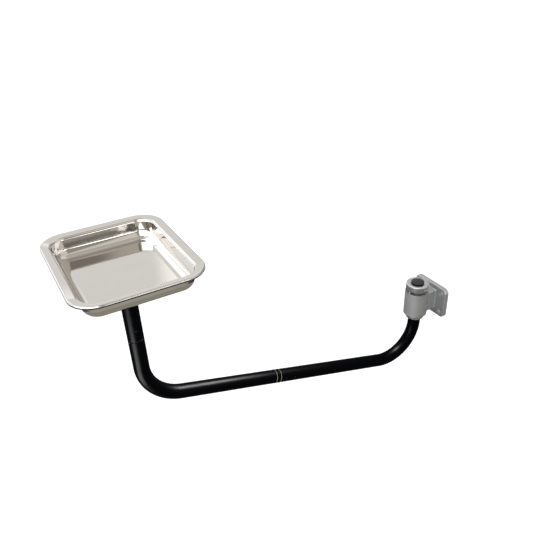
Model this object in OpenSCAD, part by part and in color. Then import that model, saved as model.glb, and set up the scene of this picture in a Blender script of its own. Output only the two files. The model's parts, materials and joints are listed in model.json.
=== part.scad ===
// Swing-arm instrument tray for a treatment chair.
// A bolted bracket carries a bent tube arm. The arm swings about a vertical pivot, its outer
// half rolls about the sloping leg, and the tray turns on top of the outer riser.
// Origin: centre of the bracket's mounting face. +X points into the chair, +Z is up.
// All lengths are in millimetres and all angles in degrees.

/* [Arm tube] */
// Outside diameter of the arm tube
tube_d = 26.9; // [24:0.1:28]
// Wall thickness of the arm tube
tube_wall = 1.6; // [1.2:0.1:2]

/* [Arm layout] */
// Distance between the two corners of the arm, along the sloping leg
leg_len = 634.7; // [520:0.1:800]
// Fall of the leg from the tray end to the chair end
leg_slope = 15.8; // [8:0.1:20]
// Centre-line radius of the bend under the tray
tray_bend_r = 85; // [60:1:90]
// Centre-line radius of the bend below the bracket
pivot_bend_r = 75; // [60:1:90]
// Straight tube between the lower bend and the lower collar
pivot_straight = 13; // [5:1:60]
// Height of the swivel joint above the outer corner
swivel_h = 125; // [122:1:150]
// Height of the tray's rim above the outer corner
rim_h = 278.9; // [255:0.1:330]

/* [Leg joint] */
// Distance from the outer corner to the leg joint's first pale ring
joint_at = 259.5; // [220:0.5:400]
// Width of each pale ring
ring_w = 1; // [0.8:0.1:1.5]
// How far each pale ring stands proud of the tube
ring_proud = 0.4; // [0.2:0.1:0.8]
// Width of the black collar between the two rings
joint_collar_w = 8.5; // [6:0.5:12]
// How far the outer arm rolls each way
roll_limit = 90; // [30:5:90]

/* [Tray] */
// Length of the tray over its rim
tray_len = 247; // [220:1:320]
// Width of the tray over its rim
tray_wid = 196; // [170:1:260]
// Depth from the rim to the underside of the floor
tray_depth = 34; // [28:0.5:36]
// Thickness of the pressed sheet
sheet_t = 1; // [0.8:0.1:1.2]
// Corner radius of the rim, seen from above
rim_corner_r = 41; // [40:1:60]
// Width of the flange, from the rim's outer edge to the wall bend
flange_w = 10.5; // [9:0.5:13]
// Inward fall of the flange
flange_fall = 11; // [6:1:14]
// Radius of the rolled outer edge
bead_r = 2; // [1.5:0.1:2.5]
// Radius between the flange and the wall
brow_r = 5; // [2:0.5:6]
// Lean of the wall from upright
wall_draft = 6; // [4:1:10]
// Radius between the wall and the floor
fillet_r = 16.5; // [14:0.5:18]

/* [Bracket] */
// Width of the mounting plate
plate_w = 92; // [88:1:120]
// Height of the mounting plate
plate_h = 70; // [66:1:90]
// Thickness of the mounting plate
plate_t = 9; // [6:1:12]
// Spacing of the bolt holes across the plate
bolt_span_y = 66; // [64:1:70]
// Spacing of the bolt holes up the plate
bolt_span_z = 46; // [40:1:48]
// Diameter of the bolt holes
bolt_hole_d = 9; // [8.5:0.5:11]
// Distance from the mounting face to the pivot axis
pivot_reach = 48; // [44:1:70]
// Diameter of the pivot boss
boss_d = 50; // [48:1:56]
// Height of the pivot boss
boss_h = 56; // [50:1:80]
// How far the arm swings each way
swing_limit = 80; // [30:5:80]

/* [Fits] */
// Radial gap of every running fit
run_gap = 0.05; // [0.03:0.01:0.1]
// Gap between faces that slide over each other
face_gap = 0.05; // [0.02:0.01:0.1]

/* [Hidden] */
$fn = 64;
cut = 1;                               // how far a cutter runs past a face
tube_r = tube_d / 2;
tube_ir = tube_r - tube_wall;
black = [0.05, 0.05, 0.055];
dull_grey = [0.36, 0.35, 0.29];
steel = [0.70, 0.70, 0.72];
bright_steel = [0.80, 0.79, 0.77];
rubber = [0.08, 0.08, 0.08];
alloy = [0.55, 0.56, 0.58];
acetal = [0.12, 0.12, 0.13];

bend_swell = 0.12;                     // extra wall on each side of a bend
bend_grip = 2;                         // how far a straight end is buried in that wall

// Fits and fasteners
bush_wall = 2;
spindle_r = tube_ir - bush_wall - run_gap;
bush_ir = tube_ir - bush_wall;
dog_r = 2.5;                           // dog screws and the grooves they run in
dog_groove_depth = 2;
dog_socket_af = 2.5;
o_ring_r = 1.3;

// Chair-side pivot
flange_t = 2;                          // flange of each pivot bush
pivot_bush_len = 20;
pivot_bush_r = tube_r + 2;             // outside of each pivot bush
pivot_flange_r = 18;
washer_t = 1.2;
spring_h = 1.6;
upper_collar_h = 14;
upper_collar_r = 24;
lower_collar_h = 8;
lower_collar_r = 19;
stop_pin_r = 2;
stop_orbit = 20.6;                     // distance of the stop pin from the pivot axis
stop_slot_depth = 5;
stop_slot_r = stop_pin_r + 2 * run_gap;
pivot_pin_r = 2.5;
tube_top_over = 2;                     // tube standing out of the upper collar

pivot_x = -pivot_reach;
upper_flange_z = boss_h / 2 + flange_t;
washer_z = upper_flange_z + face_gap;
spring_z = washer_z + washer_t;
upper_collar_z = spring_z + spring_h;
tube_top_z = upper_collar_z + upper_collar_h + tube_top_over;
lower_collar_z = -boss_h / 2 - flange_t - face_gap - lower_collar_h;

// Corners of the arm's centre line, in the XZ plane
tray_tangent = tray_bend_r * tan((90 - leg_slope) / 2);
pivot_tangent = pivot_bend_r * tan((90 + leg_slope) / 2);
inner_corner = [pivot_x, lower_collar_z - pivot_straight - pivot_tangent];
outer_corner = inner_corner + leg_len * [-cos(leg_slope), sin(leg_slope)];

// Leg joint, as distances from the outer corner along the leg
collar_at = joint_at + ring_w + face_gap;
inner_ring_at = collar_at + joint_collar_w;
inner_tube_at = inner_ring_at + ring_w;
joint_stub = 60;                       // spindle inside the outer tube
joint_head = 45;                       // spindle inside the inner tube
bush_len = 12;
joint_far_bush_at = joint_at - 56.5;
joint_dog_at = joint_at - 28.5;
joint_o_rings_at = [joint_at - 36, joint_at - 21];
joint_pins_at = [inner_tube_at + 12, inner_tube_at + 32];
joint_pin_r = 2;

// Tray swivel, as heights above the outer corner
swivel_flange_t = 0.8;
swivel_flange_r = tube_r - 0.3;
hub_at = swivel_h + swivel_flange_t + face_gap;
swivel_stub = 50;
swivel_head = 40;
swivel_low_bush_at = swivel_h - 49;
swivel_dog_at = swivel_h - 29;
swivel_o_ring_at = swivel_h - 20;
hub_pin_at = hub_at + 20;

// Tray seat, as heights above the outer corner
pad_t = 1.5;
seat_t = 4;
floor_at = rim_h - tray_depth;         // underside of the tray's floor
pad_at = floor_at - pad_t;
seat_at = pad_at - seat_t;             // underside of the seat plate
seat_len = 110;
seat_wid = 80;
seat_corner_r = 8;
stud_x = 28;
stud_y = 43;
stud_r = 2.5;
stud_hole_r = 2.8;
stud_len = 12;
stud_washer_r = 5;
stud_washer_t = 1;
nut_af = 8;
nut_h = 4.5;
nut_dome_r = 3.6;
stud_places = [for (x = [-stud_x, stud_x], y = [-stud_y, stud_y]) [x, y]];

// ---- Places ----

// Turns a drawing in XY into the upright XZ plane
module in_xz() {
    rotate([90, 0, 0]) children();
}

// Puts a shape on the leg's axis, s from the outer corner: its +Z runs towards the chair
// and its +X points to the leg's underside
module on_leg(s = 0) {
    translate([outer_corner[0], 0, outer_corner[1]])
        rotate([0, 90 + leg_slope, 0])
            translate([0, 0, s]) children();
}

// Puts a shape on the outer riser's axis, h above the outer corner
module on_riser(h = 0) {
    translate([outer_corner[0], 0, outer_corner[1] + h]) children();
}

// Puts a shape on the chair-side pivot's axis, at height z
module on_pivot(z = 0) {
    translate([pivot_x, 0, z]) children();
}

// ---- Shared shapes ----

module ring(r_out, r_in, h) {
    difference() {
        cylinder(r = r_out, h = h);
        translate([0, 0, -cut]) cylinder(r = r_in, h = h + 2 * cut);
    }
}

module rounded_rect(x, y, r) {
    square([x - 2 * r, y], center = true);
    square([x, y - 2 * r], center = true);
    for (sx = [-1, 1], sy = [-1, 1])
        translate([sx * (x / 2 - r), sy * (y / 2 - r)]) circle(r = r);
}

// Plain bush whose flange, if any, stands on top of its upper end
module bush(r_out, r_in, len, flange_r = 0, flange_h = 0) {
    difference() {
        union() {
            cylinder(r = r_out, h = len);
            if (flange_r > 0)
                translate([0, 0, len]) cylinder(r = flange_r, h = flange_h);
        }
        translate([0, 0, -cut]) cylinder(r = r_in, h = len + flange_h + 2 * cut);
    }
}

// Slotted spring pin, centred on the origin and lying along Y
module spring_pin(r, len) {
    slit = 0.8;
    rotate([90, 0, 0]) difference() {
        cylinder(r = r, h = len, center = true);
        cylinder(r = r - 0.8, h = len + 2 * cut, center = true);
        translate([0, -slit / 2, -len / 2 - cut]) cube([2 * r, slit, len + 2 * cut]);
    }
}

// Dog screw pointing inwards along +X, from the spindle's groove to just below the tube's skin
module dog_screw() {
    socket_depth = 2.5;
    tip = spindle_r - dog_groove_depth + 0.2;
    head = tube_r - 0.3;
    rotate([0, 90, 0]) difference() {
        translate([0, 0, tip]) cylinder(r = dog_r, h = head - tip);
        translate([0, 0, head - socket_depth])
            cylinder(r = dog_socket_af / sqrt(3), h = socket_depth + cut, $fn = 6);
    }
}

module dog_hole() {
    rotate([0, 90, 0]) cylinder(r = dog_r, h = tube_r + cut);
}

// Groove round a spindle of radius r, swept over an angle each way from +X
module dog_groove(r, sweep) {
    groove_r = dog_r + 2 * run_gap;
    floor_r = r - dog_groove_depth;
    if (sweep >= 180)
        translate([0, 0, -groove_r]) ring(r + cut, floor_r, 2 * groove_r);
    else {
        rotate(-sweep) rotate_extrude(angle = 2 * sweep)
            translate([floor_r, -groove_r]) square([dog_groove_depth + cut, 2 * groove_r]);
        for (a = [-sweep, sweep])
            rotate(a) rotate([0, 90, 0])
                translate([0, 0, floor_r]) cylinder(r = groove_r, h = dog_groove_depth + cut);
    }
}

module o_ring(extra = 0) {
    rotate_extrude() translate([tube_ir - run_gap - o_ring_r, 0]) circle(r = o_ring_r + extra);
}

// Turned spindle: a head that fills a tube, with a thinner stub below it
module spindle(head_len, stub_len) {
    chamfer = 1;
    rotate_extrude() polygon([
        [0, head_len], [tube_ir - chamfer, head_len], [tube_ir, head_len - chamfer], [tube_ir, 0],
        [spindle_r, 0], [spindle_r, chamfer - stub_len], [spindle_r - chamfer, -stub_len],
        [0, -stub_len],
    ]);
}

// ---- Arm tubes ----

// Straight length of tube standing on the XY plane: into_low and into_high run its ends on
// into the bend that follows
module straight_tube(len, into_low = 0, into_high = 0) {
    translate([0, 0, -into_low]) ring(tube_r, tube_ir, into_low + len + into_high);
}

// Bent length of tube in the XZ plane, about the origin, from one angle through a sweep
module bent_tube(bend_r, from, sweep) {
    in_xz() rotate(from) rotate_extrude(angle = sweep) translate([bend_r, 0]) difference() {
        circle(r = tube_r + bend_swell);
        circle(r = tube_ir - bend_swell);
    }
}

module outer_arm_tube() {
    color(black) difference() {
        union() {
            on_riser(tray_tangent) straight_tube(swivel_h - tray_tangent, into_low = bend_grip);
            translate([outer_corner[0] + tray_bend_r, 0, outer_corner[1] + tray_tangent])
                bent_tube(tray_bend_r, 180, 90 - leg_slope);
            on_leg(tray_tangent) straight_tube(joint_at - tray_tangent, into_low = bend_grip);
        }
        on_leg(joint_dog_at) dog_hole();
        on_riser(swivel_dog_at) dog_hole();
    }
}

module inner_arm_tube() {
    color(black) difference() {
        union() {
            on_leg(inner_tube_at)
                straight_tube(leg_len - pivot_tangent - inner_tube_at, into_high = bend_grip);
            translate([inner_corner[0] - pivot_bend_r, 0, inner_corner[1] + pivot_tangent])
                bent_tube(pivot_bend_r, 270 - leg_slope, 90 + leg_slope);
            on_pivot(inner_corner[1] + pivot_tangent)
                straight_tube(tube_top_z - inner_corner[1] - pivot_tangent, into_low = bend_grip);
        }
        for (s = joint_pins_at)
            on_leg(s) rotate([90, 0, 0]) cylinder(r = joint_pin_r, h = tube_d + cut, center = true);
        on_pivot(upper_collar_z + upper_collar_h / 2)
            rotate([90, 0, 0]) cylinder(r = pivot_pin_r, h = tube_d + cut, center = true);
    }
}

// ---- Bracket and pivot ----

module mount_bracket() {
    neck_w = 34;
    neck_h = boss_h - 8;
    plate_corner_r = 10;
    color(alloy) difference() {
        union() {
            translate([-plate_t, 0, 0]) rotate([0, 90, 0]) linear_extrude(plate_t)
                rounded_rect(plate_h, plate_w, plate_corner_r);
            translate([pivot_x, -neck_w / 2, -neck_h / 2])
                cube([pivot_reach - plate_t / 2, neck_w, neck_h]);
            on_pivot(-boss_h / 2) cylinder(r = boss_d / 2, h = boss_h);
        }
        on_pivot(-boss_h / 2 - cut) cylinder(r = pivot_bush_r, h = boss_h + 2 * cut);
        for (y = [-bolt_span_y / 2, bolt_span_y / 2], z = [-bolt_span_z / 2, bolt_span_z / 2])
            translate([-plate_t - cut, y, z])
                rotate([0, 90, 0]) cylinder(r = bolt_hole_d / 2, h = plate_t + 2 * cut);
        on_pivot(boss_h / 2 - stop_slot_depth) stop_slot();
    }
}

// Arc slot in the boss's top face: the stop pin meets its ends at the swing limits
module stop_slot() {
    rotate(180 - swing_limit) rotate_extrude(angle = 2 * swing_limit)
        translate([stop_orbit - stop_slot_r, 0])
            square([2 * stop_slot_r, stop_slot_depth + cut]);
    for (a = [180 - swing_limit, 180 + swing_limit])
        rotate(a) translate([stop_orbit, 0, 0])
            cylinder(r = stop_slot_r, h = stop_slot_depth + cut);
}

module pivot_bush() {
    bush(pivot_bush_r, tube_r + run_gap, pivot_bush_len, pivot_flange_r, flange_t);
}

module pivot_bush_upper() {
    color(acetal) on_pivot(boss_h / 2 - pivot_bush_len) pivot_bush();
}

module pivot_bush_lower() {
    color(acetal) on_pivot(pivot_bush_len - boss_h / 2) mirror([0, 0, 1]) pivot_bush();
}

module lower_collar() {
    color(steel) on_pivot(lower_collar_z) difference() {
        ring(lower_collar_r, tube_r, lower_collar_h);
        translate([0, 0, lower_collar_h / 2])
            rotate([0, -90, 0]) cylinder(r = dog_r, h = lower_collar_r + cut);
    }
}

module lower_collar_screw() {
    socket_depth = 2.5;
    recess = 0.5;
    len = lower_collar_r - recess - tube_r;
    color(steel) on_pivot(lower_collar_z + lower_collar_h / 2)
        rotate([0, -90, 0]) translate([0, 0, tube_r]) difference() {
            cylinder(r = dog_r, h = len);
            translate([0, 0, len - socket_depth])
                cylinder(r = dog_socket_af / sqrt(3), h = socket_depth + cut, $fn = 6);
        }
}

module pivot_washer() {
    color(steel) on_pivot(washer_z) ring(pivot_flange_r, tube_r + run_gap, washer_t);
}

// Coned disc spring that keeps the pivot stiff
module pivot_spring_washer() {
    inner_r = tube_r + run_gap;
    spring_t = 1;
    color(bright_steel) on_pivot(spring_z) rotate_extrude() polygon([
        [inner_r, spring_h - spring_t], [inner_r, spring_h],
        [pivot_flange_r, spring_t], [pivot_flange_r, 0],
    ]);
}

module pivot_collar() {
    color(steel) on_pivot(upper_collar_z) difference() {
        ring(upper_collar_r, tube_r, upper_collar_h);
        translate([0, 0, upper_collar_h / 2])
            rotate([90, 0, 0]) cylinder(r = pivot_pin_r, h = 2 * upper_collar_r + cut, center = true);
        translate([-stop_orbit, 0, -cut]) cylinder(r = stop_pin_r, h = upper_collar_h - 2 + cut);
    }
}

module pivot_roll_pin() {
    color(bright_steel) on_pivot(upper_collar_z + upper_collar_h / 2)
        spring_pin(pivot_pin_r, 2 * upper_collar_r - 3);
}

module stop_pin() {
    slot_floor_gap = 1;
    bottom_z = boss_h / 2 - stop_slot_depth + slot_floor_gap;
    top_z = upper_collar_z + upper_collar_h - 2;
    color(bright_steel) translate([pivot_x - stop_orbit, 0, bottom_z])
        cylinder(r = stop_pin_r, h = top_z - bottom_z);
}

// Push-in end cap: a ribbed plug under a low domed head
module pivot_cap() {
    plug_len = 6;
    head_edge = 1.2;
    dome_h = 2.2;
    head_r = tube_r + 0.3;
    dome_r = (head_r * head_r + dome_h * dome_h) / (2 * dome_h);
    color(acetal) on_pivot(tube_top_z) {
        translate([0, 0, -plug_len]) ring(tube_ir, tube_ir - 2, plug_len);
        cylinder(r = head_r, h = head_edge);
        translate([0, 0, head_edge]) intersection() {
            cylinder(r = head_r, h = dome_h);
            translate([0, 0, dome_h - dome_r]) sphere(r = dome_r);
        }
    }
}

// ---- Leg joint ----

module joint_spindle() {
    color(steel) difference() {
        on_leg(inner_tube_at) spindle(joint_head, inner_tube_at - joint_at + joint_stub);
        on_leg(joint_dog_at) dog_groove(spindle_r, roll_limit);
        for (s = joint_o_rings_at) on_leg(s) o_ring(run_gap);
        for (s = joint_pins_at)
            on_leg(s) rotate([90, 0, 0]) cylinder(r = joint_pin_r, h = tube_d, center = true);
    }
}

module joint_roll_pins() {
    color(black) for (s = joint_pins_at) on_leg(s) spring_pin(joint_pin_r, tube_d - 1);
}

module joint_ring() {
    color(dull_grey) on_leg(inner_ring_at) ring(tube_r + ring_proud, bush_ir, ring_w);
}

module joint_collar() {
    color(black) on_leg(collar_at) ring(tube_r, bush_ir, joint_collar_w);
}

module joint_o_rings() {
    color(rubber) for (s = joint_o_rings_at) on_leg(s) o_ring();
}

module joint_bush_flanged() {
    color(dull_grey) on_leg(joint_at - bush_len)
        bush(tube_ir, bush_ir, bush_len, tube_r + ring_proud, ring_w);
}

module joint_bush_plain() {
    color(dull_grey) on_leg(joint_far_bush_at) bush(tube_ir, bush_ir, bush_len);
}

module joint_dog_screw() {
    color(black) on_leg(joint_dog_at) dog_screw();
}

// ---- Tray swivel ----

module swivel_bush_upper() {
    color(acetal) on_riser(swivel_h - bush_len)
        bush(tube_ir, bush_ir, bush_len, swivel_flange_r, swivel_flange_t);
}

module swivel_bush_lower() {
    color(acetal) on_riser(swivel_low_bush_at) bush(tube_ir, bush_ir, bush_len);
}

module swivel_dog_screw() {
    color(black) on_riser(swivel_dog_at) dog_screw();
}

module hub_spindle() {
    color(steel) difference() {
        on_riser(hub_at) spindle(swivel_head, hub_at - swivel_h + swivel_stub);
        on_riser(swivel_dog_at) dog_groove(spindle_r, 180);
        on_riser(swivel_o_ring_at) o_ring(run_gap);
        on_riser(hub_pin_at) rotate([90, 0, 0]) cylinder(r = joint_pin_r, h = tube_d, center = true);
    }
}

module swivel_o_ring() {
    color(rubber) on_riser(swivel_o_ring_at) o_ring();
}

module hub_roll_pin() {
    color(black) on_riser(hub_pin_at) spring_pin(joint_pin_r, tube_d - 1);
}

// Black sleeve that carries the seat plate, with the weld bead at its top
module tray_hub() {
    weld = 3;
    color(black) difference() {
        union() {
            on_riser(hub_at) ring(tube_r, tube_ir, seat_at - hub_at);
            on_riser(seat_at - weld) rotate_extrude() polygon([
                [tube_r - tube_wall / 2, 0], [tube_r, 0], [tube_r + weld, weld],
                [tube_r - tube_wall / 2, weld],
            ]);
        }
        on_riser(hub_pin_at) rotate([90, 0, 0])
            cylinder(r = joint_pin_r, h = tube_d + cut, center = true);
    }
}

// ---- Tray and its seat ----

module seat_sheet(t) {
    difference() {
        linear_extrude(t) rounded_rect(seat_wid, seat_len, seat_corner_r);
        for (p = stud_places)
            translate([p[0], p[1], -cut]) cylinder(r = stud_hole_r, h = t + 2 * cut);
    }
}

module seat_plate() {
    color(black) on_riser(seat_at) seat_sheet(seat_t);
}

module seat_pad() {
    color(rubber) on_riser(pad_at) seat_sheet(pad_t);
}

module tray_studs() {
    color(bright_steel) for (p = stud_places)
        on_riser(floor_at - stud_len) translate([p[0], p[1], 0]) cylinder(r = stud_r, h = stud_len);
}

module stud_washers() {
    color(steel) for (p = stud_places)
        on_riser(seat_at - stud_washer_t) translate([p[0], p[1], 0])
            ring(stud_washer_r, stud_hole_r, stud_washer_t);
}

// Hexagon nut with a domed end, hanging below its washer
module dome_nut() {
    dome_drop = 2;
    bore_h = stud_len - pad_t - seat_t - stud_washer_t + 0.5;
    difference() {
        union() {
            translate([0, 0, -nut_h]) cylinder(r = nut_af / sqrt(3), h = nut_h, $fn = 6);
            translate([0, 0, -nut_h - dome_drop]) cylinder(r = nut_dome_r, h = dome_drop);
            translate([0, 0, -nut_h - dome_drop]) sphere(r = nut_dome_r);
        }
        translate([0, 0, -bore_h]) cylinder(r = stud_r, h = bore_h + cut);
    }
}

module dome_nuts() {
    color(bright_steel) for (p = stud_places)
        on_riser(seat_at - stud_washer_t) translate([p[0], p[1], 0]) dome_nut();
}

// Points on an arc about c, from angle a to angle b
function arc(c, r, a, b, steps = 6) =
    [for (i = [0:steps]) let (t = a + (b - a) * i / steps) c + r * [cos(t), sin(t)]];

function reversed(list) = [for (i = [len(list) - 1:-1:0]) list[i]];

// Centres of the sheet's three bends, as [inset from the rim, height above the rim]
bead_c = [bead_r, -bead_r] + sheet_t / 2 * [1, -1];
flange_run = (flange_w - bead_c[0] - (bead_r - brow_r) * sin(flange_fall)) / cos(flange_fall);
brow_c = bead_c + flange_run * [cos(flange_fall), -sin(flange_fall)]
    + (bead_r - brow_r) * [sin(flange_fall), cos(flange_fall)];
wall_top = brow_c + brow_r * [cos(wall_draft), sin(wall_draft)];
fillet_cz = fillet_r - tray_depth + sheet_t / 2;
wall_run = (wall_top[1] + fillet_r * sin(wall_draft) - fillet_cz) / cos(wall_draft);
fillet_c = [wall_top[0] + wall_run * sin(wall_draft) + fillet_r * cos(wall_draft), fillet_cz];
lip_h = 4.5;                           // height of the turned-down outer edge

// One face of the pressed sheet, side = 1 for its upper face and -1 for its lower face,
// from the turned-down edge to the end of the fillet
function sheet_face(side) = concat(
    arc(bead_c, bead_r + side * sheet_t / 2, 180, 90 - flange_fall),
    arc(brow_c, brow_r + side * sheet_t / 2, 90 - flange_fall, wall_draft),
    arc(fillet_c, fillet_r - side * sheet_t / 2, 180 + wall_draft, 270)
);

// Section of the tray from its rim to rim_corner_r inside it
module tray_section() {
    polygon(concat(
        [[0, -lip_h]],
        sheet_face(1),
        [[rim_corner_r, sheet_t - tray_depth], [rim_corner_r, -tray_depth]],
        reversed(sheet_face(-1)),
        [[sheet_t, -lip_h]]
    ));
}

// The same section measured outwards from a corner's centre
module corner_section() {
    translate([rim_corner_r, 0]) mirror([1, 0]) tray_section();
}

module tray_side(len) {
    rotate([90, 0, 0]) linear_extrude(len, center = true) corner_section();
}

module tray() {
    x = tray_wid / 2 - rim_corner_r;
    y = tray_len / 2 - rim_corner_r;
    color(bright_steel) on_riser(rim_h) {
        for (sx = [-1, 1]) translate([sx * x, 0, 0]) rotate(sx > 0 ? 0 : 180) tray_side(2 * y);
        for (sy = [-1, 1]) translate([0, sy * y, 0]) rotate(sy * 90) tray_side(2 * x);
        for (q = [0:3]) {
            sx = (q == 0 || q == 3) ? 1 : -1;
            sy = q < 2 ? 1 : -1;
            translate([sx * x, sy * y, 0]) rotate(90 * q) rotate_extrude(angle = 90) corner_section();
        }
        translate([-x, -y, -tray_depth]) cube([2 * x, 2 * y, sheet_t]);
    }
}

// ---- Output ----

mount_bracket();
pivot_bush_lower();
pivot_bush_upper();
inner_arm_tube();
lower_collar();
lower_collar_screw();
pivot_washer();
pivot_spring_washer();
pivot_collar();
pivot_roll_pin();
stop_pin();
pivot_cap();
joint_spindle();
joint_roll_pins();
joint_ring();
joint_collar();
joint_o_rings();
outer_arm_tube();
joint_bush_flanged();
joint_bush_plain();
joint_dog_screw();
swivel_bush_upper();
swivel_bush_lower();
swivel_dog_screw();
tray_hub();
hub_spindle();
hub_roll_pin();
swivel_o_ring();
seat_plate();
seat_pad();
tray();
tray_studs();
stud_washers();
dome_nuts();
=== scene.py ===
import json
import math

import bmesh
import bpy
from mathutils import Matrix, Vector


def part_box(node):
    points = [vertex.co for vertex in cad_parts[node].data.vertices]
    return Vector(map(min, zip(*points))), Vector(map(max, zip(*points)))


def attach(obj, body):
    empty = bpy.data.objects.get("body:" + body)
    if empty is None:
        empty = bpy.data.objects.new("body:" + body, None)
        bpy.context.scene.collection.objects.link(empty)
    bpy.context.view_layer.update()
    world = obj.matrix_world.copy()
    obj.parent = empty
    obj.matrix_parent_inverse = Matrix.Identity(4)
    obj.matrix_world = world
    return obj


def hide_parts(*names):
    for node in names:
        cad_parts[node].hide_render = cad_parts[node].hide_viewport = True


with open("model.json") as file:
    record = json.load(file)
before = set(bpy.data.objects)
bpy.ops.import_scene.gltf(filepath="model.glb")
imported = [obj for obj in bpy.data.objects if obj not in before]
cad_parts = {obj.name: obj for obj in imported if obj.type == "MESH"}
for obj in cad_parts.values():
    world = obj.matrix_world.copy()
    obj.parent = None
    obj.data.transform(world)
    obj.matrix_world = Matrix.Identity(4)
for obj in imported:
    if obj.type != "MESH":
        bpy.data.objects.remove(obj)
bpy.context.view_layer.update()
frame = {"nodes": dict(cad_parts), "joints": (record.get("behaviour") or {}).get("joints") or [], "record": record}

MM = 0.001
SEGMENTS = 144                      # facets round a full turn
STEP = 3 * MM                       # least distance between the rings on a straight run
SHARP = 30                          # degrees between faces that shade as an edge
CLEAR = 1 * MM                      # how far a cutter stands out of what it cuts
QUARTER = math.pi / 2
ALONG_X = Matrix.Rotation(QUARTER, 4, "Y")          # turns a cutter from Z to X
ALONG_Y = Matrix.Rotation(QUARTER, 4, "X")          # turns a cutter from Z to -Y

# ---- Places and sizes read from the frame ----


def shift(x=0, y=0, z=0):
    return Matrix.Translation((x, y, z))


def middle(node):
    lo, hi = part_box(node)
    return (lo + hi) / 2


def extent(node):
    lo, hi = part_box(node)
    return hi - lo


joints = {j["name"]: j for j in frame["joints"]}
corner = Vector(joints["arm_roll"]["pos_m"])            # outer corner of the arm's centre line
leg_dir = Vector(joints["arm_roll"]["axis"]).normalized()   # down the leg, towards the chair
slope = math.asin(-leg_dir.z)
pivot_x = joints["arm_swing"]["pos_m"][0]
inner_corner = corner + leg_dir * ((pivot_x - corner.x) / leg_dir.x)

ON_LEG = Matrix.Translation(corner) @ Matrix.Rotation(QUARTER + slope, 4, "Y")
ON_RISER = shift(corner.x)
ON_PIVOT = shift(pivot_x)

tube_r = extent("joint_collar").y / 2
tube_wall = 1.6 * MM
tube_ir = tube_r - tube_wall
tube_edge = 0.5 * MM                # rounding of the tubes' ends
bush_wall = 2 * MM
bush_ir = tube_ir - bush_wall       # inside of the bushes in the tubes
bore_r = tube_r + bush_wall         # bracket's bore, round its own bushes
pivot_flange_t = 2 * MM             # flanges of the bracket's bushes
pivot_collar_edge, lower_collar_edge = 1.0 * MM, 0.8 * MM
run_gap = 0.05 * MM                 # play between parts that turn
through = tube_r + 2 * MM           # cutters through a tube reach this far from its axis
tray_bend_r = 85 * MM
pivot_bend_r = 75 * MM


def leg_span(node):
    """Start and end of a ring on the leg, as distances from the outer corner."""
    r = extent(node).y / 2
    half = (extent(node).x - 2 * r * math.sin(slope)) / math.cos(slope) / 2
    at = (middle(node) - corner).dot(leg_dir)
    return at - half, at + half


collar_span = leg_span("joint_collar")
ring_span = leg_span("joint_ring")
ring_r = extent("joint_ring").y / 2
ring_w = ring_span[1] - ring_span[0]
flange_span = (collar_span[0] - run_gap - ring_w, collar_span[0] - run_gap)
bush_len = 12 * MM
pin_r = 2 * MM                      # roll pins of the spindles
pivot_pin_r = 2.5 * MM
dog_r = 2.5 * MM                    # dog screws and the screw of the lower collar
dog_back = 28.5 * MM                # dog screw, back from the end of the outer tube
leg_pins = [ring_span[1] + back for back in (12 * MM, 32 * MM)]

swivel_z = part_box("outer_arm_tube")[1].z
hub_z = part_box("tray_hub")[0].z
seat_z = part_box("seat_plate")[0].z
tube_top_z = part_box("inner_arm_tube")[1].z

# ---- Outlines: lists of (radius, height, normal radius, normal height) ----


def rounded_outline(points, steps=5):
    """Corners (radius, height, edge radius), anticlockwise, as an outline with rounded edges."""
    n = len(points)
    out = []
    for i in range(n):
        p = Vector(points[i][:2])
        edge = points[i][2]
        to_prev = (Vector(points[i - 1][:2]) - p).normalized()
        to_next = (Vector(points[(i + 1) % n][:2]) - p).normalized()
        outward = Vector((-to_prev.y, to_prev.x))       # of the side that ends here
        half = to_prev.angle(to_next) / 2
        centre = p + (to_prev + to_next).normalized() * (edge / math.sin(half))
        a = p + to_prev * (edge / math.tan(half)) - centre
        b = p + to_next * (edge / math.tan(half)) - centre
        turn = a.angle(b)
        side = 1 if a.dot(outward) > 0 else -1
        for k in range(steps + 1):
            t = k / steps
            d = (a * math.sin((1 - t) * turn) + b * math.sin(t * turn)) / math.sin(turn)
            normal = d.normalized() * side
            out.append((centre.x + d.x, centre.y + d.y, normal.x, normal.y))
    return out


def dense(outline, step=STEP, closed=True):
    """The same outline with its long straight runs split up."""
    out = []
    count = len(outline)
    for i in range(count):
        out.append(outline[i])
        if i == count - 1 and not closed:
            break
        a, b = outline[i], outline[(i + 1) % count]
        parts = int(math.hypot(b[0] - a[0], b[1] - a[1]) / step)
        for k in range(1, parts):
            t = k / parts
            out.append(tuple(a[j] + (b[j] - a[j]) * t for j in range(4)))
    return out


# ---- Mesh builders ----


def straight(matrix):
    """Gives the place of a ring, as its centre and axes, at height s on a straight axis."""
    def place(s):
        return matrix @ Vector((0, 0, s)), matrix.to_3x3()
    return place


def bent(start, knee, end, bend_r):
    """The same at distance s along a centre line with one bend, and the line's length."""
    into, out = (knee - start).normalized(), (end - knee).normalized()
    turn = into.angle(out)
    tangent = bend_r * math.tan(turn / 2)
    first = (knee - start).length - tangent
    arc = bend_r * turn
    axis = into.cross(out).normalized()
    side = axis.cross(into)
    centre = knee - into * tangent + side * bend_r
    total = first + arc + (end - knee).length - tangent

    def place(s):
        angle = min(max((s - first) / bend_r, 0), turn)
        spin = Matrix.Rotation(angle, 3, axis)
        t = spin @ into
        c = centre + spin @ (-side * bend_r)
        if s < first:
            c = start + into * s
        elif s > first + arc:
            c = end - out * (total - s)
        return c, Matrix((axis, t.cross(axis), t)).transposed()
    return place, total


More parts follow.
